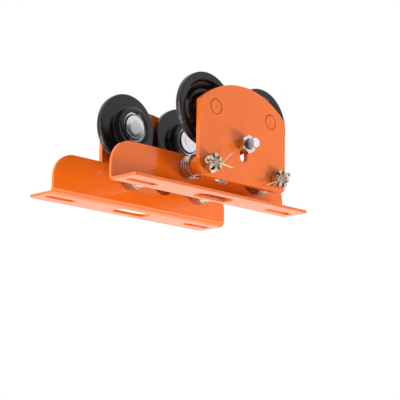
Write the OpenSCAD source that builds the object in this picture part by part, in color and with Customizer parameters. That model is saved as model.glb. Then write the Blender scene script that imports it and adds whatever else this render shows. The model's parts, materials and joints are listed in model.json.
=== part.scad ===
// Manual beam trolley. Four flanged wheels roll on the lower flange of an
// I-beam, and a load hangs from two folded brackets below it.
// Units are millimetres. +X runs along the beam and +Z is up. The near side
// is -Y. The origin lies midway between the brackets, at the middle of their
// length, in the plane of the undersides of their flanges.

/* [Brackets] */
// Length of each folded bracket along the beam
bracket_len = 241; // [220:1:300]
// Height of the upright leaf, from the underside of the flange
leaf_h = 42; // [39:0.5:46]
// Width of the flange, from the leaf's inner face to its outer edge
flange_w = 37.5; // [36:0.5:45]
// Thickness of the bracket sheet
sheet_t = 3; // [2:0.25:4]
// Inner radius of the fold
fold_r = 3; // [1:0.5:5]
// Radius of the leaf's two upper corners
leaf_corner_r = 25; // [10:1:30]
// Radius of the flange's two outer corners
flange_corner_r = 1.5; // [0.5:0.5:9]
// Distance of the shafts' midpoint from the middle of the bracket
mid_x = 27.5; // [15:0.5:32]

/* [Bracket slots] */
// Width of the slots at the ends of the flange
end_slot_w = 9; // [6:0.5:11]
// Overall length of the slots at the ends
end_slot_len = 38; // [25:1:46]
// Distance from the bracket's end to the middle of its end slot
end_slot_inset = 25; // [22:0.5:40]
// Width of the slot in the middle of the flange
mid_slot_w = 18; // [9:0.5:20]
// Overall length of the slot in the middle
mid_slot_len = 48; // [25:1:60]
// Distance of all slots from the leaf's inner face
slot_offset = 19; // [17:0.5:21]
// Width of the notch in the leaf's upper edge
notch_w = 31; // [26:1:40]
// Depth of the notch in the leaf's upper edge
notch_depth = 21; // [20:0.5:24]

/* [Side plates] */
// Width of a side plate along the beam
plate_w = 125; // [120:1:140]
// Thickness of a side plate
plate_t = 5; // [4:0.5:8]
// Height of the plate's lower edge
plate_bottom_z = 16; // [12:0.5:19]
// Height at which the straight sides end and the arch begins
plate_shoulder_z = 91.5; // [84:0.5:98]
// Height of the top of the arch
plate_top_z = 116.5; // [112:0.5:124]
// Radius of the plate's lower corners
plate_corner_r = 8; // [3:0.5:10]

/* [Cross shafts] */
// Diameter of the cross shafts and of their threaded ends
shaft_d = 10; // [8:0.5:12]
// Distance between the two cross shafts
shaft_pitch = 97.5; // [94:0.5:104]
// Height of the cross shafts above the flange's underside
shaft_z = 28.8; // [28:0.1:31]
// Radial clearance of the holes on the shafts
hole_clear = 0.25; // [0.1:0.05:0.5]
// Outer diameter of the spacer rings between the brackets
ring_d = 22; // [18:0.5:26]
// Length of one spacer ring
ring_len = 13.7; // [12:0.1:15]
// Number of spacer rings on each shaft
ring_count = 6; // [5:1:7]
// Outer diameter of the adjusting washers
washer_d = 24; // [20:0.5:30]
// Thickness of one adjusting washer
washer_t = 3.25; // [2:0.25:4]
// Number of adjusting washers in each stack
washer_count = 4; // [3:1:6]
// Outer diameter of the sleeves on the side plates
sleeve_d = 19; // [16:0.5:24]
// Length of a sleeve
sleeve_len = 12.5; // [10:0.5:20]

/* [Slotted nuts and split pins] */
// Width across flats of the slotted nuts
castle_af = 17; // [16:0.5:19]
// Height of the slotted nuts
castle_h = 9.5; // [8:0.5:12]
// How far the shafts stand out of the slotted nuts
shaft_proud = 0; // [0:0.5:3]
// Width of the slots in the nuts
castle_slot_w = 2.8; // [2.6:0.1:3.6]
// Depth of the slots in the nuts
castle_slot_depth = 3.6; // [3:0.1:4]
// Diameter of the closed split pins
pin_d = 2.3; // [1.8:0.1:2.4]

/* [Wheels] */
// Distance between the two wheels on one plate
wheel_pitch = 80; // [78:0.5:86]
// Height of the wheel axles above the flange's underside
axle_z = 88; // [86:0.5:92]
// Diameter of the wheel's flange
wheel_flange_d = 75.5; // [68:0.5:77]
// Width of the flange's rim
rim_w = 7.5; // [6:0.1:9]
// Diameter of the running tread beside the flange
tread_d = 43; // [40:0.5:48]
// Width of the running tread
tread_w = 12; // [12:0.5:18]
// Radius of the rim's two edges
rim_edge_r = 1.8; // [0.5:0.1:2]
// Diameter of the hollow in the flange's outer face, inside its sloping edge
dish_d = 56.5; // [50:0.5:58]
// Depth of that hollow beside the boss
dish_depth = 5; // [4:0.1:5]
// Diameter of the boss inside the hollow
hub_d = 42; // [36:0.5:44]
// Gap between the side plate and the wheel's flange
wheel_gap = 7; // [5:0.5:12]

/* [Axles and bearings] */
// Diameter of the axle's riveted end in the side plate
rivet_d = 15; // [14:0.1:17]
// Diameter of the axle's collar between the plate and the bearing
collar_d = 21; // [18:0.5:23]
// Bore of the ball bearing
bearing_bore = 15; // [14:0.5:16]
// Outer diameter of the ball bearing
bearing_d = 32; // [31:0.5:34]
// Width of the ball bearing
bearing_w = 9; // [8:0.5:10]
// Diameter of the bearing balls
ball_d = 4.8; // [4:0.1:5.4]
// Number of balls in a bearing
ball_count = 9; // [7:1:10]
// Diameter of the washer on the axle's inner end
end_washer_d = 25; // [22:0.5:26]
// Thickness of that washer
end_washer_t = 2; // [1.5:0.1:3]

/* [Guard studs] */
// Diameter of the guard studs under the beam
stud_d = 10; // [8:0.5:12]
// Length of a guard stud
stud_len = 60; // [55:1:70]
// Length of the stud outside the side plate
stud_out = 17.5; // [14:0.5:20]
// Height of the stud at the upper end of its slot
stud_z = 56; // [54:0.5:58]
// Travel of the stud down its slot
stud_travel = 12; // [6:0.5:12]
// Sideways clearance of the stud in its slot
stud_clear = 0.3; // [0.1:0.05:0.6]
// Width across flats of the stud's nuts
stud_nut_af = 17; // [16:0.5:18]
// Thickness of the stud's nuts
stud_nut_t = 8; // [6:0.5:8.5]

/* [Hidden] */
$fn = 96;

NEAR = -1;
FAR = 1;
LEFT = -1;
RIGHT = 1;

// Small clearances that keep pieces free of each other
fit_clear = 0.02;
slide_clear = 0.05;
ball_clear = 0.1;
seal_clear = 0.3;
cut = 1;

orange = "#e9743a";
black = "#1c1c1f";
yellow_zinc = "#c9b45c";
white_zinc = "#c8ccd0";
rubber = "#101010";

// Places across the beam, as distances from the middle plane
leaf_in_y = ring_count * ring_len / 2;
leaf_out_y = leaf_in_y + sheet_t;
flange_out_y = leaf_in_y + flange_w;
slot_y = leaf_in_y + slot_offset;
plate_in_y = leaf_out_y + washer_count * washer_t + sleeve_len;
plate_out_y = plate_in_y + plate_t;

// Cross shafts, their holes and their nuts
shaft_hole_r = shaft_d / 2 + hole_clear;
nut_bore_r = shaft_d / 2 + fit_clear;
shaft_end_y = plate_out_y + castle_h + shaft_proud;
shaft_chamfer = 0.8;
ring_bevel = 0.4;
turned_share = 0.52;
pin_y = plate_out_y + castle_h - castle_slot_depth / 2;
pin_hole_r = pin_d / 2 + 0.15;
// Split pins of the left and the right shaft: the angle of the pin above +X,
// how far its upper and lower legs bend away, and how long they are
pin_angle = [2, 210];
pin_bend = [[40, 8], [7, 8]];
pin_leg = castle_af * [[1.65, 1.41], [1.05, 1.54]];
pin_eye_r = 2;
pin_gap = 0.12;

// Arch of the side plate, through both shoulders and the top
arch_rise = plate_top_z - plate_shoulder_z;
arch_r = (pow(plate_w / 2, 2) + pow(arch_rise, 2)) / (2 * arch_rise);

// Wheel, measured inwards from the side plate's inner face
flange_face_u = wheel_gap;
rim_end_u = flange_face_u + rim_w;
dish_floor_u = flange_face_u + dish_depth;
dish_slope_w = 3.4;
dish_slope_h = 1.7;
dish_wall_h = 1.4;
hub_h = 1;
hub_edge = 0.5;
hub_face_u = dish_floor_u - hub_h;
tread_end_u = rim_end_u + tread_w;
flange_slope = 1.2;
tread_taper = 0.4;
edge = 0.7;
arc_steps = 4;
snap_ring_t = 1.2;
snap_ring_depth = 1;
snap_ring_w = 3.2;
snap_ring_gap = 8;
bearing_inset = 1.2;
bearing_out_u = tread_end_u - snap_ring_t - bearing_inset;
bearing_in_u = bearing_out_u - bearing_w;
bore_r = bearing_d / 2 + fit_clear;
lip_w = 2;
lip_r = bearing_d / 2 - lip_w;

// Ball bearing
seat_r = bearing_bore / 2;
pitch_r = (bearing_bore + bearing_d) / 4;
ring_shoulder = ball_d * 0.44;
inner_ring_r = pitch_r - ring_shoulder;
outer_ring_r = pitch_r + ring_shoulder;
seal_t = 0.7;
seal_recess = 0.4;
cage_t = 1.1;
cage_w = ball_d * 0.7;
axle_step = 1.5;
axle_tail_r = seat_r - axle_step;
peen_h = 0.6;
rivet_gap = 0.1;
rivet_bevel = 0.5;
centre_mark_r = 1.3;

// Guard studs
slot_r = stud_d / 2 + stud_clear;
stud_nut_bore_r = stud_d / 2 + fit_clear;
stud_chamfer = 1.2;

// A cylinder with a bevel at its upper end
module bevelled(r, h, bevel) {
    cylinder(r = r, h = h - bevel);
    translate([0, 0, h - bevel]) cylinder(r1 = r, r2 = r - bevel, h = bevel);
}

// A turned ring with both outer rims bevelled
module turned_ring(r_out, r_in, h) {
    rotate_extrude() polygon([
        [r_in, 0], [r_out - ring_bevel, 0], [r_out, ring_bevel],
        [r_out, h - ring_bevel], [r_out - ring_bevel, h], [r_in, h]
    ]);
}

// A plain ring
module ring(r_out, r_in, h) {
    difference() {
        cylinder(r = r_out, h = h);
        translate([0, 0, -cut]) cylinder(r = r_in, h = h + 2 * cut);
    }
}

// A slot along X with round ends, cut from below z = 0 upwards
module slot_x(len, w, h) {
    for (end = [-1, 1])
        translate([end * (len - w) / 2, 0, 0]) cylinder(r = w / 2, h = h);
    translate([-(len - w) / 2, -w / 2, 0]) cube([len - w, w, h]);
}

// What a round corner of radius r takes off a square one at the origin,
// which points to +X and +Y
module corner_waste(r, h) {
    difference() {
        translate([-r, -r, 0]) cube([r + cut, r + cut, h]);
        translate([-r, -r, -cut]) cylinder(r = r, h = h + 2 * cut);
    }
}

// A hexagon nut blank that stands on z = 0, with both rims turned down
module hex_blank(af, h) {
    face_r = af * turned_share;
    intersection() {
        cylinder(r = af / 2 / cos(30), h = h, $fn = 6);
        cylinder(r1 = face_r, r2 = face_r + h, h = h);
        cylinder(r1 = face_r + h, r2 = face_r, h = h);
    }
}

// The far side is the near side's mirror image
module on_side(side) {
    mirror([0, side == FAR ? 1 : 0, 0]) children();
}

// Puts a piece on a wheel's axis, with local +Z pointing inwards from the
// side plate's inner face
module on_axle(side, end) {
    on_side(side) translate([mid_x + end * wheel_pitch / 2, -plate_in_y, axle_z])
        rotate([-90, 0, 0]) children();
}

// Puts a piece on a cross shaft's axis, with local +X along the beam, +Y up
// and +Z pointing outwards from the middle plane
module on_shaft(side, end) {
    on_side(side) translate([mid_x + end * shaft_pitch / 2, 0, shaft_z])
        rotate([90, 0, 0]) children();
}

// Puts a piece on a guard stud's axis, turned in the same way
module on_stud(side) {
    on_side(side) translate([mid_x, 0, stud_z]) rotate([90, 0, 0]) children();
}

// Folded bracket. Its leaf stands upright and its flange points outwards.
module fold_profile() {
    fold_out = fold_r + sheet_t;
    translate([leaf_in_y, fold_out]) square([sheet_t, leaf_h - fold_out]);
    translate([leaf_in_y + fold_out, 0]) square([flange_w - fold_out, sheet_t]);
    translate([leaf_in_y + fold_out, fold_out]) intersection() {
        difference() {
            circle(r = fold_out);
            circle(r = fold_r);
        }
        translate([-fold_out, -fold_out]) square(fold_out);
    }
}

module bracket_blank() {
    rotate([90, 0, 90]) translate([0, 0, -bracket_len / 2])
        linear_extrude(height = bracket_len) fold_profile();
}

module bracket_cuts() {
    // Round upper corners of the leaf
    for (end = [-1, 1])
        translate([end * bracket_len / 2, leaf_in_y - cut, leaf_h])
            mirror([end < 0 ? 1 : 0, 0, 0]) rotate([-90, 0, 0]) mirror([0, 1, 0])
                corner_waste(leaf_corner_r, sheet_t + 2 * cut);
    // Round outer corners of the flange
    for (end = [-1, 1])
        translate([end * bracket_len / 2, flange_out_y, -cut])
            mirror([end < 0 ? 1 : 0, 0, 0])
                corner_waste(flange_corner_r, sheet_t + 2 * cut);
    // Slots in the flange
    for (end = [-1, 1])
        translate([end * (bracket_len / 2 - end_slot_inset), slot_y, -cut])
            slot_x(end_slot_len, end_slot_w, sheet_t + 2 * cut);
    translate([0, slot_y, -cut]) slot_x(mid_slot_len, mid_slot_w, sheet_t + 2 * cut);
    // Shaft holes and the notch between them
    for (end = [-1, 1])
        translate([mid_x + end * shaft_pitch / 2, leaf_in_y - cut, shaft_z])
            rotate([-90, 0, 0]) cylinder(r = shaft_hole_r, h = sheet_t + 2 * cut);
    translate([mid_x, leaf_in_y - cut, leaf_h - notch_depth + notch_w / 2]) {
        rotate([-90, 0, 0]) cylinder(r = notch_w / 2, h = sheet_t + 2 * cut);
        translate([-notch_w / 2, 0, 0]) cube([notch_w, sheet_t + 2 * cut, notch_depth]);
    }
}

module bracket(side) {
    color(orange) on_side(-side) difference() {
        bracket_blank();
        bracket_cuts();
    }
}

// Hole for an axle's riveted end, with a bevelled rim on the plate's outer face
module rivet_hole() {
    r = rivet_d / 2 + rivet_gap;
    translate([0, 0, -cut]) cylinder(r = r, h = plate_t + 2 * cut);
    translate([0, 0, plate_t - rivet_bevel])
        cylinder(r1 = r, r2 = r + rivet_bevel + cut, h = rivet_bevel + cut);
}

// Side plate with an arched top
module plate_outline() {
    corner_x = plate_w / 2 - plate_corner_r;
    intersection() {
        union() {
            translate([-plate_w / 2, plate_bottom_z + plate_corner_r])
                square([plate_w, plate_top_z - plate_bottom_z]);
            translate([-corner_x, plate_bottom_z]) square([2 * corner_x, plate_corner_r + cut]);
            for (end = [-1, 1])
                translate([end * corner_x, plate_bottom_z + plate_corner_r])
                    circle(r = plate_corner_r);
        }
        translate([0, plate_top_z - arch_r]) circle(r = arch_r, $fn = 180);
    }
}

module side_plate(side) {
    color(orange) on_side(side) translate([mid_x, -plate_in_y, 0])
        rotate([90, 0, 0]) difference() {
            linear_extrude(height = plate_t) plate_outline();
            for (end = [-1, 1]) {
                translate([end * wheel_pitch / 2, axle_z, 0]) rivet_hole();
                translate([end * shaft_pitch / 2, shaft_z, -cut])
                    cylinder(r = shaft_hole_r, h = plate_t + 2 * cut);
            }
            translate([0, stud_z - stud_travel / 2, -cut]) rotate([0, 0, 90])
                slot_x(stud_travel + 2 * slot_r, 2 * slot_r, plate_t + 2 * cut);
        }
}

// Sleeves that keep the side plate away from the washers
module sleeves(side) {
    color(orange) for (end = [LEFT, RIGHT])
        on_shaft(side, end) translate([0, 0, plate_in_y - sleeve_len])
            ring(sleeve_d / 2, shaft_hole_r, sleeve_len);
}

// Cross shaft with bevelled ends and a hole for each split pin
module cross_shaft(end) {
    color(yellow_zinc) difference() {
        for (side = [NEAR, FAR])
            on_shaft(side, end) bevelled(shaft_d / 2, shaft_end_y, shaft_chamfer);
        for (side = [NEAR, FAR])
            on_shaft(side, end) pin_line(end) translate([0, 0, -shaft_d])
                cylinder(r = pin_hole_r, h = 2 * shaft_d, $fn = 32);
    }
}

module spacer_rings(end) {
    color(yellow_zinc) for (i = [0 : ring_count - 1])
        on_shaft(FAR, end) translate([0, 0, -leaf_in_y + i * ring_len])
            turned_ring(ring_d / 2, shaft_hole_r, ring_len);
}

module washers(side, end) {
    color(white_zinc) for (i = [0 : washer_count - 1])
        on_shaft(side, end) translate([0, 0, leaf_out_y + i * washer_t])
            turned_ring(washer_d / 2, shaft_hole_r, washer_t);
}

// The split pins' values are listed for the left end and then the right end
function of_end(values, end) = values[end == LEFT ? 0 : 1];

// Puts a piece on a split pin's axis, with local +Z towards the open ends of
// its legs, and +Y still up where the pin points along +X
module pin_line(end) {
    translate([0, 0, pin_y]) rotate([0, 0, of_end(pin_angle, end)])
        rotate([0, 90, 0]) children();
}

// Slotted hexagon nut, with its slots in the flats
module castle_nut(side, end) {
    color(yellow_zinc) on_shaft(side, end) translate([0, 0, plate_out_y])
        rotate([0, 0, of_end(pin_angle, end)]) difference() {
            rotate([0, 0, 30]) hex_blank(castle_af, castle_h);
            translate([0, 0, -cut]) cylinder(r = nut_bore_r, h = castle_h + 2 * cut);
            for (i = [0 : 2])
                rotate([0, 0, 60 * i])
                    translate([-castle_af, -castle_slot_w / 2, castle_h - castle_slot_depth])
                        cube([2 * castle_af, castle_slot_w, castle_slot_depth + cut]);
        }
}

// Half of a round rod, on the +Y side of its axis
module half_rod(r, len) {
    intersection() {
        cylinder(r = r, h = len, $fn = 32);
        translate([-r, pin_gap / 2, 0]) cube([2 * r, r, len]);
    }
}

// Upper leg of a split pin: straight through the nut, then bent away
module pin_half(len, bend) {
    straight = castle_af / 2 + 1;
    translate([0, 0, -straight]) half_rod(pin_d / 2, 2 * straight);
    translate([0, 0, straight]) rotate([-bend, 0, 0]) half_rod(pin_d / 2, len - straight);
}

// Split pin, with its round eye against the nut
module split_pin(side, end) {
    bend = of_end(pin_bend, end);
    len = of_end(pin_leg, end);
    eye_z = -castle_af / 2 - 1 - pin_eye_r;
    color(yellow_zinc) on_shaft(side, end) pin_line(end) {
        pin_half(len[0], bend[0]);
        mirror([0, 1, 0]) pin_half(len[1], bend[1]);
        translate([0, 0, eye_z]) rotate([0, 90, 0])
            rotate_extrude($fn = 48) translate([pin_eye_r, 0]) circle(r = pin_d / 4, $fn = 24);
    }
}

// Stub axle: riveted end with a centre mark, collar, bearing seat and tail
module axle(side, end) {
    color(white_zinc) on_axle(side, end) {
        mirror([0, 0, 1]) difference() {
            bevelled(rivet_d / 2, plate_t, rivet_bevel);
            translate([0, 0, plate_t - centre_mark_r])
                cylinder(r1 = 0, r2 = centre_mark_r + cut, h = centre_mark_r + cut);
        }
        cylinder(r = collar_d / 2, h = bearing_in_u);
        translate([0, 0, bearing_in_u]) cylinder(r = seat_r, h = bearing_w);
        translate([0, 0, bearing_out_u]) cylinder(r = axle_tail_r, h = end_washer_t);
        translate([0, 0, bearing_out_u + end_washer_t])
            bevelled(axle_tail_r + 1, peen_h, peen_h / 2);
    }
}

module axle_washer(side, end) {
    color(white_zinc) on_axle(side, end) translate([0, 0, bearing_out_u])
        ring(end_washer_d / 2, axle_tail_r + fit_clear, end_washer_t);
}

// Inner ring of the ball bearing, which sits on the axle
module bearing_inner(side, end) {
    color(white_zinc) on_axle(side, end) translate([0, 0, bearing_in_u]) difference() {
        ring(inner_ring_r, seat_r + fit_clear, bearing_w);
        ball_groove();
    }
}

module bearing_outer(side, end) {
    color(white_zinc) on_axle(side, end) translate([0, 0, bearing_in_u]) difference() {
        ring(bearing_d / 2, outer_ring_r, bearing_w);
        ball_groove();
    }
}

// The round track that the balls run in
module ball_groove() {
    translate([0, 0, bearing_w / 2]) rotate_extrude() translate([pitch_r, 0])
        circle(r = ball_d / 2 + ball_clear, $fn = 48);
}

module bearing_seals(side, end) {
    color(rubber) on_axle(side, end) {
        for (z = [seal_recess, bearing_w - seal_recess - seal_t])
            translate([0, 0, bearing_in_u + z])
                ring(outer_ring_r - fit_clear, inner_ring_r + seal_clear, seal_t);
    }
}

// Balls and the cage that spaces them
module ball_cage(side, end) {
    on_axle(side, end) translate([0, 0, bearing_in_u + bearing_w / 2]) {
        color(white_zinc) for (i = [0 : ball_count - 1])
            rotate([0, 0, i * 360 / ball_count]) translate([pitch_r, 0, 0])
                sphere(d = ball_d, $fn = 48);
        color(yellow_zinc) difference() {
            translate([0, 0, -cage_w / 2])
                ring(pitch_r + cage_t / 2, pitch_r - cage_t / 2, cage_w);
            for (i = [0 : ball_count - 1])
                rotate([0, 0, i * 360 / ball_count]) translate([pitch_r, 0, 0])
                    sphere(d = ball_d + 2 * ball_clear, $fn = 48);
        }
    }
}

// Retaining ring in the wheel's bore, open at the top
module snap_ring(side, end) {
    r = bore_r + snap_ring_depth - fit_clear;
    color(white_zinc) on_axle(side, end) translate([0, 0, bearing_out_u]) difference() {
        ring(r, r - snap_ring_w + snap_ring_depth, snap_ring_t - fit_clear);
        translate([0, -r, snap_ring_t / 2])
            cube([snap_ring_gap, 2 * snap_ring_w + cut, 2 * snap_ring_t], center = true);
    }
}

// Points of an arc round a middle point
function arc(middle, r, from, to) = [
    for (i = [0 : arc_steps])
        let (a = from + (to - from) * i / arc_steps) middle + r * [cos(a), sin(a)]
];

// Wheel: wide flange with a hollow outer face that deepens towards its boss,
// narrow tread, bore for the bearing with a lip behind it and a groove for the
// retaining ring
module wheel_section() {
    rim_r = wheel_flange_d / 2 - rim_edge_r;
    dish_r = dish_d / 2;
    hub_r = hub_d / 2;
    tread_r = tread_d / 2;
    dish = [
        [lip_r, hub_face_u], [hub_r - hub_edge, hub_face_u], [hub_r, hub_face_u + hub_edge],
        [hub_r, dish_floor_u], [dish_r, flange_face_u + dish_slope_h + dish_wall_h],
        [dish_r, flange_face_u + dish_slope_h], [dish_r + dish_slope_w, flange_face_u]
    ];
    rim = concat(
        arc([rim_r, flange_face_u + rim_edge_r], rim_edge_r, -90, 0),
        arc([rim_r, rim_end_u - rim_edge_r], rim_edge_r, 0, 90)
    );
    tread = [
        [tread_r + edge, rim_end_u + flange_slope], [tread_r, rim_end_u + flange_slope + edge],
        [tread_r - tread_taper, tread_end_u - 2 * edge],
        [tread_r - tread_taper - 2 * edge, tread_end_u], [bore_r, tread_end_u]
    ];
    bore = [
        [bore_r, bearing_out_u + snap_ring_t], [bore_r + snap_ring_depth, bearing_out_u + snap_ring_t],
        [bore_r + snap_ring_depth, bearing_out_u], [bore_r, bearing_out_u],
        [bore_r, bearing_in_u - fit_clear], [lip_r, bearing_in_u - fit_clear]
    ];
    polygon(concat(dish, rim, tread, bore));
}

module wheel(side, end) {
    color(black) on_axle(side, end) rotate_extrude($fn = 128) wheel_section();
}

// Threaded stud that reaches under the beam's flange
module guard_stud(side) {
    color(white_zinc) on_stud(side) translate([0, 0, plate_out_y + stud_out - stud_len]) {
        translate([0, 0, stud_len / 2]) bevelled(stud_d / 2, stud_len / 2, stud_chamfer);
        translate([0, 0, stud_len / 2]) mirror([0, 0, 1])
            bevelled(stud_d / 2, stud_len / 2, stud_chamfer);
    }
}

// The nuts that clamp the stud to the side plate, one on each face of it
module guard_nuts(side) {
    color(white_zinc) on_stud(side)
        for (z = [plate_in_y - slide_clear - stud_nut_t, plate_out_y + slide_clear])
            translate([0, 0, z]) difference() {
                rotate([0, 0, 30]) hex_blank(stud_nut_af, stud_nut_t);
                translate([0, 0, -cut]) cylinder(r = stud_nut_bore_r, h = stud_nut_t + 2 * cut);
            }
}

bracket(NEAR);  // bracket_near
bracket(FAR);  // bracket_far
side_plate(NEAR);  // side_plate_near
side_plate(FAR);  // side_plate_far
sleeves(NEAR);  // sleeves_near
sleeves(FAR);  // sleeves_far
cross_shaft(LEFT);  // cross_shaft_left
cross_shaft(RIGHT);  // cross_shaft_right
spacer_rings(LEFT);  // spacer_rings_left
spacer_rings(RIGHT);  // spacer_rings_right
washers(NEAR, LEFT);  // washers_near_left
washers(NEAR, RIGHT);  // washers_near_right
washers(FAR, LEFT);  // washers_far_left
washers(FAR, RIGHT);  // washers_far_right
castle_nut(NEAR, LEFT);  // castle_nut_near_left
castle_nut(NEAR, RIGHT);  // castle_nut_near_right
castle_nut(FAR, LEFT);  // castle_nut_far_left
castle_nut(FAR, RIGHT);  // castle_nut_far_right
split_pin(NEAR, LEFT);  // split_pin_near_left
split_pin(NEAR, RIGHT);  // split_pin_near_right
split_pin(FAR, LEFT);  // split_pin_far_left
split_pin(FAR, RIGHT);  // split_pin_far_right
axle(NEAR, LEFT);  // axle_near_left
axle(NEAR, RIGHT);  // axle_near_right
axle(FAR, LEFT);  // axle_far_left
axle(FAR, RIGHT);  // axle_far_right
axle_washer(NEAR, LEFT);  // axle_washer_near_left
axle_washer(NEAR, RIGHT);  // axle_washer_near_right
axle_washer(FAR, LEFT);  // axle_washer_far_left
axle_washer(FAR, RIGHT);  // axle_washer_far_right
bearing_inner(NEAR, LEFT);  // bearing_inner_near_left
bearing_inner(NEAR, RIGHT);  // bearing_inner_near_right
bearing_inner(FAR, LEFT);  // bearing_inner_far_left
bearing_inner(FAR, RIGHT);  // bearing_inner_far_right
wheel(NEAR, LEFT);  // wheel_near_left
wheel(NEAR, RIGHT);  // wheel_near_right
wheel(FAR, LEFT);  // wheel_far_left
wheel(FAR, RIGHT);  // wheel_far_right
bearing_outer(NEAR, LEFT);  // bearing_outer_near_left
bearing_outer(NEAR, RIGHT);  // bearing_outer_near_right
bearing_outer(FAR, LEFT);  // bearing_outer_far_left
bearing_outer(FAR, RIGHT);  // bearing_outer_far_right
bearing_seals(NEAR, LEFT);  // bearing_seals_near_left
bearing_seals(NEAR, RIGHT);  // bearing_seals_near_right
bearing_seals(FAR, LEFT);  // bearing_seals_far_left
bearing_seals(FAR, RIGHT);  // bearing_seals_far_right
snap_ring(NEAR, LEFT);  // snap_ring_near_left
snap_ring(NEAR, RIGHT);  // snap_ring_near_right
snap_ring(FAR, LEFT);  // snap_ring_far_left
snap_ring(FAR, RIGHT);  // snap_ring_far_right
ball_cage(NEAR, LEFT);  // ball_cage_near_left
ball_cage(NEAR, RIGHT);  // ball_cage_near_right
ball_cage(FAR, LEFT);  // ball_cage_far_left
ball_cage(FAR, RIGHT);  // ball_cage_far_right
guard_stud(NEAR);  // guard_stud_near
guard_stud(FAR);  // guard_stud_far
guard_nuts(NEAR);  // guard_nuts_near
guard_nuts(FAR);  // guard_nuts_far
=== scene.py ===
"""Looks of the manual beam trolley: powder-coated plates and brackets, zinc
plated fasteners with real threads, and black wheels.

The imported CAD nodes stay. They get their materials, and rounded edges from
modifiers. Three kinds of small piece are remade in mesh code, because their
detail is finer than the solids hold: guard studs, cross shafts and split pins.
"""

import json
import math

import bmesh
import bpy
from mathutils import Matrix, Vector


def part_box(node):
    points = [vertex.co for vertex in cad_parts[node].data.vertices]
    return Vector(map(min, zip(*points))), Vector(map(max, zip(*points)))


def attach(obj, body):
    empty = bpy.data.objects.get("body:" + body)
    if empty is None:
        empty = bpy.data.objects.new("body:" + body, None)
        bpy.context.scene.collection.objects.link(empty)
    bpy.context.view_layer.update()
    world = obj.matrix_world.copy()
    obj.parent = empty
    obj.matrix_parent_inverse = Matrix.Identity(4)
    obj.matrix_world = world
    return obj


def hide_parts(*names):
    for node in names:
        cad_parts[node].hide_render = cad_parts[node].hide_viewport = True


MM = 0.001
SIDES = {"near": -1, "far": 1}
ENDS = ("left", "right")

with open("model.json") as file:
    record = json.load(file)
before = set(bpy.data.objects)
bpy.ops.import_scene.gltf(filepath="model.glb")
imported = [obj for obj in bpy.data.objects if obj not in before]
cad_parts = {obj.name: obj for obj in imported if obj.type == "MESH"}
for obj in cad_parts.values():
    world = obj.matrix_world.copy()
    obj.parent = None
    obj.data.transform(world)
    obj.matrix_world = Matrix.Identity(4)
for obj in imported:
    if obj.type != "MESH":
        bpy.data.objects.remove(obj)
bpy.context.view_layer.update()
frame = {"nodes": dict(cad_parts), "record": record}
nodes = frame["nodes"]


# Places that the frame gives

def middle_of(node):
    low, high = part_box(node)
    return (low + high) / 2


def reach_of(node):
    """How far a node reaches from the middle plane, in metres."""
    low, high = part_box(node)
    return max(abs(low.y), abs(high.y))


def radius_of(node):
    """Radius of a round node that lies along Y."""
    low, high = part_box(node)
    return (high.z - low.z) / 2


def body_of(node):
    for body, members in frame["record"]["behaviour"]["bodies"].items():
        if node in members:
            return body
    raise KeyError(node)


MIDDLE_X = middle_of("side_plate_near").x
PLATE_OUT = reach_of("side_plate_near")
# Axles and cross shafts stand in pairs, each this far from MIDDLE_X
AXLE_OFFSET = middle_of("wheel_near_right").x - MIDDLE_X
AXLE_Z = middle_of("wheel_near_right").z
SHAFT_OFFSET = middle_of("cross_shaft_right").x - MIDDLE_X
SHAFT_Z = middle_of("cross_shaft_right").z
SHAFT_OUT = reach_of("cross_shaft_right")
NUT_TOP = reach_of("castle_nut_near_right")
GUARD_NUT_TOP = reach_of("guard_nuts_near")
STUD_Z = middle_of("guard_stud_near").z
STUD_OUT = reach_of("guard_stud_near")
STUD_RADIUS = radius_of("guard_stud_near")


# Camera, as solved from the photo: it looks up at the trolley from below.
# Its sensor and lens are in millimetres.

CAMERA_TARGET = Vector((MIDDLE_X, 0, 0))
CAMERA_AZIMUTH = math.radians(-44.604)
CAMERA_ELEVATION = math.radians(-11.270)
CAMERA_ROLL = math.radians(0.921)
CAMERA_DISTANCE = 1.335
CAMERA_SENSOR = 36
CAMERA_LENS = 116.34
CAMERA_SHIFT = (0.0239, 0.0243)


def make_camera():
    a, e, r = CAMERA_AZIMUTH, CAMERA_ELEVATION, CAMERA_ROLL
    back = Vector((math.sin(a) * math.cos(e), -math.cos(a) * math.cos(e), math.sin(e)))
    right = Vector((math.cos(a), math.sin(a), 0))
    up = back.cross(right)
    turned_right = math.cos(r) * right + math.sin(r) * up
    turned_up = math.cos(r) * up - math.sin(r) * right
    data = bpy.data.cameras.new("camera")
    data.sensor_width = CAMERA_SENSOR
    data.lens = CAMERA_LENS
    data.shift_x, data.shift_y = CAMERA_SHIFT
    data.clip_start, data.clip_end = 0.05, 50
    camera = bpy.data.objects.new("camera", data)
    axes = Matrix((turned_right, turned_up, back)).transposed().to_4x4()
    camera.matrix_world = Matrix.Translation(CAMERA_TARGET + CAMERA_DISTANCE * back) @ axes
    bpy.context.scene.collection.objects.link(camera)
    bpy.context.scene.camera = camera


# Materials

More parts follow.
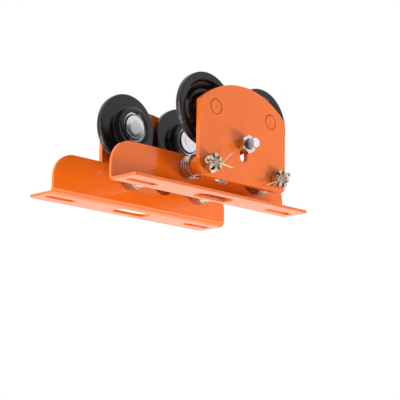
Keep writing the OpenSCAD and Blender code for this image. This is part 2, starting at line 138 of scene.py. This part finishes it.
# Colours are linear. Those of one material are mixed by noise.
ORANGE_COLOURS = ((0.78, 0.135, 0.007), (0.80, 0.145, 0.009), (0.79, 0.140, 0.008))
BLACK_COLOURS = ((0.004, 0.0038, 0.0038), (0.007, 0.0065, 0.0065))
WHITE_ZINC_COLOURS = ((0.62, 0.64, 0.66), (0.74, 0.74, 0.78), (0.66, 0.68, 0.72))
YELLOW_ZINC_COLOURS = ((0.10, 0.07, 0.04), (0.72, 0.62, 0.48), (0.38, 0.38, 0.24), (0.82, 0.58, 0.47))
DULL_ZINC_COLOURS = ((0.40, 0.38, 0.34), (0.56, 0.53, 0.50), (0.44, 0.46, 0.41), (0.52, 0.44, 0.40))
WIRE_COLOURS = ((0.70, 0.45, 0.28), (0.76, 0.52, 0.35), (0.64, 0.42, 0.26))
STEEL_COLOURS = ((0.55, 0.55, 0.56), (0.62, 0.62, 0.64))
RUBBER_COLOURS = ((0.010, 0.010, 0.010), (0.016, 0.016, 0.016))
SHAFT_END_COLOURS = ((0.05, 0.02, 0.015), (0.58, 0.40, 0.34), (0.10, 0.05, 0.04))
STUD_END_COLOUR = (0.86, 0.85, 0.92)
# Grime and painted shade, which darken the nuts' slots and the threads' roots
GRIME_AND_SHADE_COLOUR = (0.060, 0.032, 0.018)
# Painted shade where a guard stud comes out of its nut
NUT_CONTACT_SHADE_COLOUR = (0.050, 0.070, 0.052)
JOINT_COLOUR = (0.56, 0.085, 0.006)

# Noise lies mostly between these two values
NOISE_LOW, NOISE_HIGH = 0.3, 0.7


class Shader:
    """A material with one Principled shader, and short calls for its nodes."""

    def __init__(self, name):
        self.material = bpy.data.materials.new(name)
        self.material.use_nodes = True
        self.tree = self.material.node_tree
        self.principled = self.tree.nodes["Principled BSDF"]
        self.place = self.tree.nodes.new("ShaderNodeTexCoord").outputs["Object"]

    def set(self, **values):
        for name, value in values.items():
            self.principled.inputs[name.replace("_", " ")].default_value = value

    def link(self, socket, name):
        self.tree.links.new(socket, self.principled.inputs[name])

    def surface(self, node):
        """Makes a node the material's surface, in place of the Principled one."""
        output = self.tree.nodes["Material Output"]
        self.tree.links.new(node.outputs[0], output.inputs["Surface"])

    def node(self, kind, inputs=None, **settings):
        node = self.tree.nodes.new("ShaderNode" + kind)
        for name, value in settings.items():
            setattr(node, name, value)
        for name, value in (inputs or {}).items():
            if isinstance(value, bpy.types.NodeSocket):
                self.tree.links.new(value, node.inputs[name])
            else:
                node.inputs[name].default_value = value
        return node

    def math(self, operation, a, b=0.0):
        return self.node("Math", {0: a, 1: b}, operation=operation).outputs[0]

    def noise(self, size, detail=2.0):
        """Noise whose features are about size metres wide."""
        scaled = self.node("Mapping", {"Vector": self.place, "Scale": (1 / size,) * 3})
        inputs = {"Vector": scaled.outputs[0], "Scale": 1.0, "Detail": detail}
        return self.node("TexNoise", inputs).outputs["Fac"]

    def spread(self, value, low, high, low_in=NOISE_LOW, high_in=NOISE_HIGH):
        """Carries value from one range to another, and stops at its ends."""
        inputs = {
            "Value": value, "From Min": low_in, "From Max": high_in, "To Min": low, "To Max": high,
        }
        return self.node("MapRange", inputs).outputs[0]

    def blend(self, value, colours):
        """Colours spaced evenly over the range of noise."""
        ramp = self.node("ValToRGB", {"Fac": value})
        stops = ramp.color_ramp.elements
        while len(stops) < len(colours):
            stops.new(0.5)
        step = (NOISE_HIGH - NOISE_LOW) / (len(colours) - 1)
        for i, colour in enumerate(colours):
            stops[i].position = NOISE_LOW + step * i
            stops[i].color = (*colour, 1)
        return ramp.outputs["Color"]

    def mixed(self, share, colour, other):
        """A colour socket, with a share of another colour or socket in it."""
        if not isinstance(other, bpy.types.NodeSocket):
            other = (*other, 1)
        return self.node("MixRGB", {"Fac": share, "Color1": colour, "Color2": other}).outputs[0]

    def bump(self, height, depth):
        """Surface relief of depth metres."""
        node = self.node("Bump", {"Height": height, "Distance": depth, "Strength": 1.0})
        self.link(node.outputs[0], "Normal")

    def coordinate(self, axis):
        return self.node("SeparateXYZ", {0: self.place}).outputs[axis]

    def reach(self):
        """Distance from the middle plane."""
        return self.math("ABSOLUTE", self.coordinate("Y"))

    def radius(self, offset, height):
        """Distance from the nearer of two axes along Y, which stand offset
        from MIDDLE_X at that height."""
        from_middle = self.math("ABSOLUTE", self.math("SUBTRACT", self.coordinate("X"), MIDDLE_X))
        across = self.math("SUBTRACT", from_middle, offset)
        above = self.math("SUBTRACT", self.coordinate("Z"), height)
        squares = self.math("ADD", self.math("POWER", across, 2.0), self.math("POWER", above, 2.0))
        return self.math("SQRT", squares)


# Joint between each axle's riveted end and the plate, where dust and shade
# make a line. The line fades from LINE_CORE to LINE_EDGE beside the joint.
JOINT_RADIUS = 7.5 * MM
LINE_CORE = 0.4 * MM
LINE_EDGE = 1.0 * MM
JOINT_DEPTH = 1.0 * MM
# How much of the axle's end is painted with the plate
PAINTED_LENGTH = 1.5 * MM


def jointed_paint(shader):
    """Orange with a dark line round each axle's riveted end."""
    paint = shader.blend(shader.noise(30 * MM, 3.0), ORANGE_COLOURS)
    off = shader.math("SUBTRACT", shader.radius(AXLE_OFFSET, AXLE_Z), JOINT_RADIUS)
    line = shader.spread(shader.math("ABSOLUTE", off), 1.0, 0.0, LINE_CORE, LINE_EDGE)
    outer = shader.math("GREATER_THAN", shader.reach(), PLATE_OUT - JOINT_DEPTH)
    return shader.mixed(shader.math("MULTIPLY", line, outer), paint, JOINT_COLOUR)


def orange_paint():
    shader = Shader("orange_paint")
    shader.set(IOR=1.5)
    shader.link(jointed_paint(shader), "Base Color")
    shader.link(shader.spread(shader.noise(12 * MM, 3.0), 0.07, 0.11), "Roughness")
    shader.bump(shader.noise(3 * MM, 1.0), 0.004 * MM)
    return shader.material


TURNING_PITCH = 0.7 * MM
TURNING_DEPTH = 0.0015 * MM


def black_enamel():
    """Enamel over turned steel: fine rings round each wheel's own axis."""
    shader = Shader("black_enamel")
    shader.set(IOR=1.45)
    shader.link(shader.blend(shader.noise(20 * MM, 3.0), BLACK_COLOURS), "Base Color")
    shader.link(shader.spread(shader.noise(8 * MM, 4.0), 0.10, 0.18), "Roughness")
    turns = shader.math("MULTIPLY", shader.radius(AXLE_OFFSET, AXLE_Z), 2 * math.pi / TURNING_PITCH)
    shader.bump(shader.math("SINE", turns), TURNING_DEPTH)
    return shader.material


def zinc(name, colours, size, roughness):
    shader = Shader(name)
    shader.set(Metallic=1.0)
    shader.link(shader.blend(shader.noise(size, 3.0), colours), "Base Color")
    shader.link(shader.spread(shader.noise(3 * MM, 4.0), *roughness), "Roughness")
    shader.bump(shader.noise(2.5 * MM), 0.004 * MM)
    return shader.material


# Old grease and painted shade in the nuts' slots: the radii between which they fade out, the depths
# below a nut's top between which they set in, and the depth at which they end, below the slots'
# floor. They make the metal darker, duller and rougher.
GRIME_SHADE_RADII = (7.6 * MM, 8.4 * MM)
GRIME_SHADE_DEPTHS = (0.2 * MM, 1.6 * MM)
GRIME_SHADE_END = 5 * MM
GRIME_SHADE_DULLS = 0.7
GRIME_SHADE_ROUGHENS = 0.3
# Stain on a shaft's cut end: the radii between which it fades out, how deep it
# goes and how large its spots are
STAIN_RADII = (4.7 * MM, 5.0 * MM)
STAIN_DEPTH = 0.3 * MM
STAIN_SIZE = 2.2 * MM


def greasy_zinc():
    """Yellow zinc of nuts and shafts, with old grease and painted shade in the nuts' slots and a
    stained cut end on each shaft."""
    shader = Shader("yellow_zinc")
    radius = shader.radius(SHAFT_OFFSET, SHAFT_Z)
    reach = shader.reach()
    depth = shader.math("SUBTRACT", NUT_TOP, reach)
    inside = shader.spread(radius, 1.0, 0.0, *GRIME_SHADE_RADII)
    below = shader.spread(depth, 0.0, 1.0, *GRIME_SHADE_DEPTHS)
    in_slot = shader.math("MULTIPLY", below, shader.math("LESS_THAN", depth, GRIME_SHADE_END))
    grime_and_shade = shader.math("MULTIPLY", inside, in_slot)
    within = shader.spread(radius, 1.0, 0.0, *STAIN_RADII)
    outer = shader.math("GREATER_THAN", reach, SHAFT_OUT - STAIN_DEPTH)
    cut_end = shader.math("MULTIPLY", within, outer)
    plating = shader.blend(shader.noise(4.5 * MM, 3.0), YELLOW_ZINC_COLOURS)
    stain = shader.blend(shader.noise(STAIN_SIZE), SHAFT_END_COLOURS)
    clean = shader.mixed(cut_end, plating, stain)
    # Painted shade and grease darken the nuts' slots
    shader.link(shader.mixed(grime_and_shade, clean, GRIME_AND_SHADE_COLOUR), "Base Color")
    dulled = shader.math("MULTIPLY", grime_and_shade, GRIME_SHADE_DULLS)
    shader.link(shader.math("SUBTRACT", 1.0, dulled), "Metallic")
    plain = shader.spread(shader.noise(3 * MM, 4.0), 0.16, 0.26)
    roughened = shader.math("MULTIPLY", grime_and_shade, GRIME_SHADE_ROUGHENS)
    shader.link(shader.math("ADD", plain, roughened), "Roughness")
    shader.bump(shader.noise(2.5 * MM), 0.006 * MM)
    return shader.material


# Dirt and painted shade in a guard stud's thread: the depths below its crest between which they fade
# out, and the share that these and the painted shade at its nut have where they are thickest. The
# stud's cut end stays clean.
THREAD_DIRT_SHADE = (0.4 * MM, 0.05 * MM)
DIRT_AND_SHADE_SHARE = 0.85
STUD_END_DEPTH = 1.0 * MM
# Painted shade where a guard stud comes out of its nut: the distances between which it fades out
# along the stud and across the nut's face, and how far below that face it begins
CONTACT_SHADE_ALONG = (1.5 * MM, 4.5 * MM)
CONTACT_SHADE_ACROSS = (0.2 * MM, 1.4 * MM)
CONTACT_SHADE_DEPTH = 0.5 * MM


def threaded_zinc():
    """White zinc on the guard studs and their nuts, with dirt and painted shade in the thread and
    painted shade where the stud comes out of its outer nut."""
    shader = Shader("threaded_zinc")
    radius = shader.radius(0, STUD_Z)
    reach = shader.reach()
    end = shader.math("GREATER_THAN", reach, STUD_OUT - STUD_END_DEPTH)
    # Painted shade and dirt darken the thread's roots
    deep = shader.spread(radius, DIRT_AND_SHADE_SHARE, 0.0, *(STUD_RADIUS - below for below in THREAD_DIRT_SHADE))
    thread_dirt_shade = shader.math("MULTIPLY", deep, shader.math("SUBTRACT", 1.0, end))
    # Painted shade where the stud comes out of its outer nut
    off_nut = shader.spread(reach, DIRT_AND_SHADE_SHARE, 0.0, *(GUARD_NUT_TOP + past for past in CONTACT_SHADE_ALONG))
    close = shader.spread(radius, 1.0, 0.0, *(STUD_RADIUS + past for past in CONTACT_SHADE_ACROSS))
    outer = shader.math("GREATER_THAN", reach, GUARD_NUT_TOP - CONTACT_SHADE_DEPTH)
    contact_shade = shader.math("MULTIPLY", shader.math("MULTIPLY", off_nut, close), outer)
    plating = shader.blend(shader.noise(6 * MM, 3.0), WHITE_ZINC_COLOURS)
    bright = shader.mixed(end, plating, STUD_END_COLOUR)
    thread_darkened = shader.mixed(thread_dirt_shade, bright, GRIME_AND_SHADE_COLOUR)
    shader.link(shader.mixed(contact_shade, thread_darkened, NUT_CONTACT_SHADE_COLOUR), "Base Color")
    shader.set(Metallic=1.0, Roughness=0.14)
    shader.bump(shader.noise(2.5 * MM), 0.004 * MM)
    return shader.material


def riveted_axle():
    """Zinc inside, but painted with the plate where the rivet's head shows."""
    shader = Shader("riveted_axle")
    shader.set(IOR=1.5, Roughness=0.09)
    shader.link(jointed_paint(shader), "Base Color")
    painted = shader.math("GREATER_THAN", shader.reach(), PLATE_OUT - PAINTED_LENGTH)
    metal = {"Metallic": 1.0, "Base Color": (*WHITE_ZINC_COLOURS[1], 1), "Roughness": 0.3}
    bare = shader.node("BsdfPrincipled", metal).outputs[0]
    paint = shader.principled.outputs[0]
    shader.surface(shader.node("MixShader", {0: painted, 1: bare, 2: paint}))
    return shader.material


def bearing_steel():
    shader = Shader("bearing_steel")
    shader.set(Metallic=1.0)
    shader.link(shader.blend(shader.noise(10 * MM), STEEL_COLOURS), "Base Color")
    shader.link(shader.spread(shader.noise(2 * MM, 3.0), 0.12, 0.22), "Roughness")
    return shader.material


def black_rubber():
    shader = Shader("black_rubber")
    shader.link(shader.blend(shader.noise(4 * MM), RUBBER_COLOURS), "Base Color")
    shader.link(shader.spread(shader.noise(2 * MM, 3.0), 0.5, 0.65), "Roughness")
    shader.bump(shader.noise(0.5 * MM), 0.02 * MM)
    return shader.material


SLOT_OF = {row["node"]: row["material_slot"] for row in frame["record"]["subparts"]}
MATERIALS = {
    "orange_paint": orange_paint(),
    "black_enamel": black_enamel(),
    "white_zinc": zinc("white_zinc", WHITE_ZINC_COLOURS, 9 * MM, (0.10, 0.18)),
    "yellow_zinc": greasy_zinc(),
    "bearing_steel": bearing_steel(),
    "black_rubber": black_rubber(),
}
THREAD_MATERIAL = threaded_zinc()
WIRE_MATERIAL = zinc("pin_wire", WIRE_COLOURS, 4 * MM, (0.28, 0.38))
STACK_MATERIAL = zinc("dull_zinc", DULL_ZINC_COLOURS, 5 * MM, (0.18, 0.30))
# Kinds of node that look different from the rest of their slot
MATERIAL_OF_KIND = {
    "axle": riveted_axle(),
    "washers": STACK_MATERIAL,
    "spacer_rings": STACK_MATERIAL,
    "guard_nuts": THREAD_MATERIAL,
}


# Finish of the CAD nodes

# How wide each kind of node's sharp edges are rounded
EDGE_WIDTHS = {
    "bracket": 0.45 * MM, "side_plate": 0.6 * MM, "sleeves": 0.3 * MM,
    "spacer_rings": 0.12 * MM, "washers": 0.12 * MM, "castle_nut": 0.2 * MM,
    "axle": 0.15 * MM, "axle_washer": 0.3 * MM, "bearing_inner": 0.3 * MM,
    "bearing_outer": 0.3 * MM, "wheel": 0.25 * MM, "snap_ring": 0.15 * MM,
    "guard_nuts": 0.2 * MM,
}
# Edges that turn by less than this keep their form. The angle is larger on
# sheet parts, because the side plates' rivet holes have bevelled rims.
EDGE_ANGLE = math.radians(30)
SHEET_EDGE_ANGLE = math.radians(50)
SHEET_KINDS = ("bracket", "side_plate")
# Neighbouring faces are joined first where they turn by less than this. The
# wheels keep all their faces.
FLAT_ANGLE = math.radians(0.5)
WELD_DISTANCE = 0.001 * MM


def kind_of(node):
    """The longest name in EDGE_WIDTHS that the node's own name begins with."""
    fits = [kind for kind in EDGE_WIDTHS if node.startswith(kind)]
    return max(fits, key=len) if fits else None


def round_edges(obj, kind):
    """Rounds a CAD node's sharp edges, which its own mesh keeps."""
    weld = obj.modifiers.new("weld", "WELD")
    weld.merge_threshold = WELD_DISTANCE
    if kind != "wheel":
        flat = obj.modifiers.new("flat_faces", "DECIMATE")
        flat.decimate_type = "DISSOLVE"
        flat.angle_limit = FLAT_ANGLE
    bevel = obj.modifiers.new("round_edges", "BEVEL")
    bevel.width = EDGE_WIDTHS[kind]
    bevel.segments = 2
    bevel.loop_slide = False
    bevel.limit_method = "ANGLE"
    bevel.angle_limit = SHEET_EDGE_ANGLE if kind in SHEET_KINDS else EDGE_ANGLE
    normals = obj.modifiers.new("normals", "WEIGHTED_NORMAL")
    normals.keep_sharp = False


def dress_cad_nodes():
    for name, obj in nodes.items():
        kind = kind_of(name)
        obj.data.materials.clear()
        obj.data.materials.append(MATERIAL_OF_KIND.get(kind, MATERIALS[SLOT_OF[name]]))
        if kind:
            round_edges(obj, kind)


# Mesh code for the pieces that are remade

SMOOTH_ANGLE = math.radians(35)


def add_piece(name, bm, node, material):
    """Makes an object that stands for a CAD node and rides on its body."""
    bmesh.ops.recalc_face_normals(bm, faces=bm.faces)
    for face in bm.faces:
        face.smooth = True
    for edge in bm.edges:
        if len(edge.link_faces) == 2 and edge.calc_face_angle() > SMOOTH_ANGLE:
            edge.smooth = False
    mesh = bpy.data.meshes.new(name)
    bm.to_mesh(mesh)
    bm.free()
    obj = bpy.data.objects.new(name, mesh)
    bpy.context.scene.collection.objects.link(obj)
    mesh.materials.append(material)
    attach(obj, body_of(node))
    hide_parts(node)


def append(bm, other, matrix):
    """Moves all of other into bm."""
    other.transform(matrix)
    mesh = bpy.data.meshes.new("appended")
    other.to_mesh(mesh)
    other.free()
    bm.from_mesh(mesh)
    bpy.data.meshes.remove(mesh)


def outwards(side, place):
    """Turns a piece made along +Z so that it points away from the middle plane."""
    return Matrix.Translation(place) @ Matrix.Rotation(-side * math.pi / 2, 4, "X")


# One turn of a thread, as depths below its crest, in shares of the full depth
THREAD_SHAPE = (0.0, 0.0, 0.0, 0.08, 0.55, 1.0, 0.55, 0.08)
THREAD_PITCH = 1.5 * MM
THREAD_DEPTH = 0.6 * MM
THREAD_SIDES = 40
THREAD_CHAMFER = 0.8 * MM
# Turns made past each end, which are then cut off flat
SPARE_TURNS = 2
CUT_TOLERANCE = 1e-8


def thread(bm, radius, start, end):
    """A thread along +Z from start to end, closed with flat ends and bevelled.
    Its rows follow the helix, so that its crest runs along edges, and the last
    side of each row meets the first side one turn later."""
    turn = len(THREAD_SHAPE)
    first = math.floor(start / THREAD_PITCH) - SPARE_TURNS
    last = math.ceil(end / THREAD_PITCH) + SPARE_TURNS
    rows = []
    for i in range((last - first) * turn):
        row = []
        for j in range(THREAD_SIDES):
            angle = 2 * math.pi * j / THREAD_SIDES
            z = (first + i / turn + j / THREAD_SIDES) * THREAD_PITCH
            to_end = max(min(z - start, end - z), 0)
            r = radius - THREAD_DEPTH * THREAD_SHAPE[i % turn]
            r = min(r, radius - THREAD_CHAMFER + to_end)
            row.append(bm.verts.new((r * math.cos(angle), r * math.sin(angle), z)))
        rows.append(row)
    for i in range(len(rows) - 1):
        low, high = rows[i], rows[i + 1]
        for j in range(THREAD_SIDES - 1):
            bm.faces.new((low[j], low[j + 1], high[j + 1], high[j]))
        if i + turn + 1 < len(rows):
            bm.faces.new((low[-1], rows[i + turn][0], rows[i + turn + 1][0], high[-1]))
    for z, normal in ((start, -1), (end, 1)):
        cut = bmesh.ops.bisect_plane(
            bm, geom=bm.verts[:] + bm.edges[:] + bm.faces[:], dist=CUT_TOLERANCE,
            plane_co=(0, 0, z), plane_no=(0, 0, normal), clear_outer=True,
        )
        rim = [e for e in cut["geom_cut"] if isinstance(e, bmesh.types.BMEdge)]
        bmesh.ops.contextual_create(bm, geom=rim)


def make_guard_studs():
    for side_name, side in SIDES.items():
        node = f"guard_stud_{side_name}"
        low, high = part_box(node)
        half = (high.y - low.y) / 2
        bm = bmesh.new()
        thread(bm, radius_of(node), -half, half)
        bm.transform(outwards(side, middle_of(node)))
        add_piece(f"guard_stud_thread_{side_name}", bm, node, THREAD_MATERIAL)


SHAFT_THREAD_LENGTH = 16 * MM
SHAFT_SIDES = 48


def make_cross_shafts():
    """Shafts with a thread at both ends, and rolled thinner between them."""
    for end_name in ENDS:
        node = f"cross_shaft_{end_name}"
        radius = radius_of(node)
        reach = reach_of(node)
        plain = reach - SHAFT_THREAD_LENGTH
        bm = bmesh.new()
        bmesh.ops.create_cone(
            bm, cap_ends=True, segments=SHAFT_SIDES, radius1=radius - THREAD_DEPTH / 2,
            radius2=radius - THREAD_DEPTH / 2, depth=2 * plain,
        )
        for side in SIDES.values():
            end = bmesh.new()
            thread(end, radius, plain, reach)
            append(bm, end, Matrix.Rotation(0 if side > 0 else math.pi, 4, "X"))
        bm.transform(outwards(1, middle_of(node)))
        add_piece(f"{node}_threaded", bm, node, MATERIALS[SLOT_OF[node]])


# Split pins, with the values of part.scad. A pin's wire is half round and
# folded on itself round its eye. Each leg's length is measured from the
# shaft's axis, in nut widths. The first value of each pair is the upper leg's
# where the pin points along +X.
NUT_WIDTH = 17 * MM
PIN_RADIUS = 1.15 * MM
PIN_GAP = 0.12 * MM
PIN_EYE_RADIUS = 2 * MM
PIN_ANGLES = {"left": 2, "right": 210}
PIN_BENDS = {"left": (40, 8), "right": (7, 8)}
PIN_LEGS = {"left": (1.65, 1.41), "right": (1.05, 1.54)}
# How far a pin stays straight on each side of the shaft's axis
PIN_STRAIGHT = NUT_WIDTH / 2 + 1 * MM
# Where the route is held close to a leg's knee: shares of the bent length
# past it, and a share of the straight length before it
PIN_PAST_KNEE = (0.6, 0.15)
PIN_BEFORE_KNEE = 0.8
# Distance from the eye's middle to where the legs part, in radii of the eye's
# route
PIN_THROAT = 1.9
PIN_LOOP_STEPS = 14
PIN_PROFILE_STEPS = 10
PIN_ROUNDS = 2


def smooth_route(points, rounds):
    """Cuts the corners of an open route, which keeps its two ends."""
    for _ in range(rounds):
        cut = [points[0]]
        for a, b in zip(points, points[1:]):
            cut += [a.lerp(b, 0.25), a.lerp(b, 0.75)]
        points = cut + [points[-1]]
    return points


def pin_leg(bend, length):
    """Route of one leg, from its tip round its knee into the straight part."""
    bent = length - PIN_STRAIGHT
    knee = Vector((PIN_STRAIGHT, PIN_GAP / 2))
    tip = knee + bent * Vector((math.cos(bend), math.sin(bend)))
    past_knee = [knee.lerp(tip, share) for share in PIN_PAST_KNEE]
    return [tip, *past_knee, knee, Vector((PIN_STRAIGHT * PIN_BEFORE_KNEE, PIN_GAP / 2))]


def pin_route(bends, lengths):
    """Route of the wire's flat face: up one leg, round the eye, down the other."""
    inner = PIN_EYE_RADIUS - PIN_RADIUS / 2
    eye = Vector((-PIN_STRAIGHT - PIN_EYE_RADIUS, 0))
    throat = eye + Vector((PIN_THROAT * inner, PIN_GAP / 2))
    upper, lower = (
        pin_leg(math.radians(bend), length * NUT_WIDTH) for bend, length in zip(bends, lengths)
    )
    first = math.acos(1 / PIN_THROAT)
    angles = (
        first + (2 * math.pi - 2 * first) * i / PIN_LOOP_STEPS for i in range(PIN_LOOP_STEPS + 1)
    )
    loop = [eye + inner * Vector((math.cos(a), math.sin(a))) for a in angles]
    back = [point * Vector((1, -1)) for point in reversed([*lower, throat])]
    return smooth_route([*upper, throat, *loop, *back], PIN_ROUNDS)


def half_round_wire(route):
    """A half-round wire with its flat face along a route in the X-Z plane."""
    bm = bmesh.new()
    rings = []
    for i, point in enumerate(route):
        along = (route[min(i + 1, len(route) - 1)] - route[max(i - 1, 0)]).normalized()
        outward = Vector((along.y, -along.x))
        ring = []
        for j in range(PIN_PROFILE_STEPS + 1):
            a = math.pi * j / PIN_PROFILE_STEPS
            flat = point + outward * PIN_RADIUS * math.sin(a)
            ring.append(bm.verts.new((flat.x, PIN_RADIUS * math.cos(a), flat.y)))
        rings.append(ring)
    for a, b in zip(rings, rings[1:]):
        for j in range(len(a)):
            k = (j + 1) % len(a)
            bm.faces.new((a[j], a[k], b[k], b[j]))
    bm.faces.new(rings[0])
    bm.faces.new(rings[-1])
    return bm


def make_split_pins():
    for side_name in SIDES:
        for end_name in ENDS:
            node = f"split_pin_{side_name}_{end_name}"
            place = middle_of(f"cross_shaft_{end_name}")
            place.y = middle_of(node).y
            turn = Matrix.Rotation(-math.radians(PIN_ANGLES[end_name]), 4, "Y")
            bm = half_round_wire(pin_route(PIN_BENDS[end_name], PIN_LEGS[end_name]))
            bm.transform(Matrix.Translation(place) @ turn)
            add_piece(f"{node}_wire", bm, node, WIRE_MATERIAL)


# Stage and light

FLOOR_SIZE = 12
FLOOR_HEIGHT = -0.42
FLOOR_COLOUR = (0.86, 0.86, 0.86, 1)
# What the floor adds to its lit colour where the camera sees it
FLOOR_GLOW = 0.45
WORLD_LIGHT = 0.58
# The middle of the object, which the lamps and the card face
LIT_MIDDLE = CAMERA_TARGET + Vector((0, 0, 60 * MM))
# Direction from the object, distance and size of each soft lamp, then how
# bright it is as light and as seen in reflections, where 1 looks white
LAMPS = {
    "key": ((0.60, -0.68, -0.42), 1.0, 0.42, 18.0, 2.6),
    "rim": ((-0.62, 0.66, -0.36), 0.85, 0.28, 8.0, 2.6),
    "side": ((-0.95, 0.28, -0.08), 1.0, 0.8, 5.0, 2.5),
    "under": ((0.10, 0.15, -1.00), 0.40, 0.6, 0.9, 0.9),
}
# The lamp that reflections show stands this much nearer than the one that
# lights, because a ray sees only the first of two lamps in one place
SHEEN_OFFSET = 10 * MM
# A dark card between camera and object, which only reflections show. It gives
# the zinc something to mirror.
CARD_DIRECTION = (-0.72, -0.69, 0.05)
CARD_DISTANCE = 0.95
CARD_SIZE = 1.0
CARD_SIDES = 48
CARD_COLOUR = (0.15, 0.15, 0.15, 1)
WHITE = (1, 1, 1, 1)


def either(tree, path, rays):
    """A socket that is 1 for rays of any of the kinds given."""
    seen = path.outputs[rays[0]]
    for ray in rays[1:]:
        larger = tree.nodes.new("ShaderNodeMath")
        larger.operation = "MAXIMUM"
        tree.links.new(seen, larger.inputs[0])
        tree.links.new(path.outputs[ray], larger.inputs[1])
        seen = larger.outputs[0]
    return seen


def facing_object(direction, distance):
    """Place of a lamp or card, whose own axis points away from the object."""
    away = Vector(direction).normalized()
    turn = away.to_track_quat("Z", "Y").to_matrix().to_4x4()
    return Matrix.Translation(LIT_MIDDLE + distance * away) @ turn


def make_floor():
    """A pale floor, white in reflections, which can be looked through from below."""
    bpy.ops.mesh.primitive_plane_add(size=FLOOR_SIZE, location=(0, 0, FLOOR_HEIGHT))
    floor = bpy.context.object
    floor.name = "floor"
    shader = Shader("floor")
    shader.set(Base_Color=FLOOR_COLOUR, Roughness=0.7, Emission_Color=WHITE)
    path = shader.node("LightPath")
    glow = shader.math("MULTIPLY", path.outputs["Is Camera Ray"], FLOOR_GLOW)
    shader.link(glow, "Emission Strength")
    mirrored = either(shader.tree, path, ("Is Glossy Ray", "Is Transmission Ray"))
    lit = shader.principled.outputs[0]
    white = shader.node("Emission", {"Color": WHITE, "Strength": 1.0}).outputs[0]
    top = shader.node("MixShader", {0: mirrored, 1: lit, 2: white}).outputs[0]
    below = shader.node("NewGeometry").outputs["Backfacing"]
    clear = shader.node("BsdfTransparent").outputs[0]
    shader.surface(shader.node("MixShader", {0: below, 1: top, 2: clear}))
    floor.data.materials.append(shader.material)


def make_card():
    name = "card_at_camera"
    shader = Shader(name)
    shader.set(Base_Color=CARD_COLOUR, Roughness=0.9)
    bm = bmesh.new()
    bmesh.ops.create_circle(bm, cap_ends=True, segments=CARD_SIDES, radius=CARD_SIZE / 2)
    mesh = bpy.data.meshes.new(name)
    bm.to_mesh(mesh)
    bm.free()
    mesh.materials.append(shader.material)
    card = bpy.data.objects.new(name, mesh)
    card.matrix_world = facing_object(CARD_DIRECTION, CARD_DISTANCE)
    for rays in ("camera", "diffuse", "shadow", "transmission", "volume_scatter"):
        setattr(card, f"visible_{rays}", False)
    bpy.context.scene.collection.objects.link(card)


def make_world():
    """White where it is seen or mirrored, and dimmer as light."""
    world = bpy.data.worlds.new("world")
    bpy.context.scene.world = world
    world.use_nodes = True
    tree = world.node_tree
    background = tree.nodes["Background"]
    path = tree.nodes.new("ShaderNodeLightPath")
    seen = either(tree, path, ("Is Camera Ray", "Is Glossy Ray", "Is Transmission Ray"))
    strength = tree.nodes.new("ShaderNodeMapRange")
    tree.links.new(seen, strength.inputs["Value"])
    strength.inputs["To Min"].default_value = WORLD_LIGHT
    strength.inputs["To Max"].default_value = 1.0
    background.inputs["Color"].default_value = WHITE
    tree.links.new(strength.outputs[0], background.inputs["Strength"])


def make_lamps():
    """Each lamp is two: one that lights, and one that reflections show."""
    for name, (direction, distance, size, light, sheen) in LAMPS.items():
        for use, brightness, offset in (("light", light, 0), ("sheen", sheen, SHEEN_OFFSET)):
            data = bpy.data.lights.new(f"{name}_{use}", "AREA")
            data.shape = "SQUARE"
            data.size = size
            data.energy = brightness * math.pi * size ** 2
            lamp = bpy.data.objects.new(f"{name}_{use}", data)
            lamp.matrix_world = facing_object(direction, distance - offset)
            lamp.visible_camera = False
            lamp.visible_diffuse = use == "light"
            lamp.visible_glossy = use == "sheen"
            bpy.context.scene.collection.objects.link(lamp)


make_camera()
dress_cad_nodes()
make_guard_studs()
make_cross_shafts()
make_split_pins()
make_floor()
make_card()
make_world()
make_lamps()
bpy.context.scene.view_settings.view_transform = "Standard"
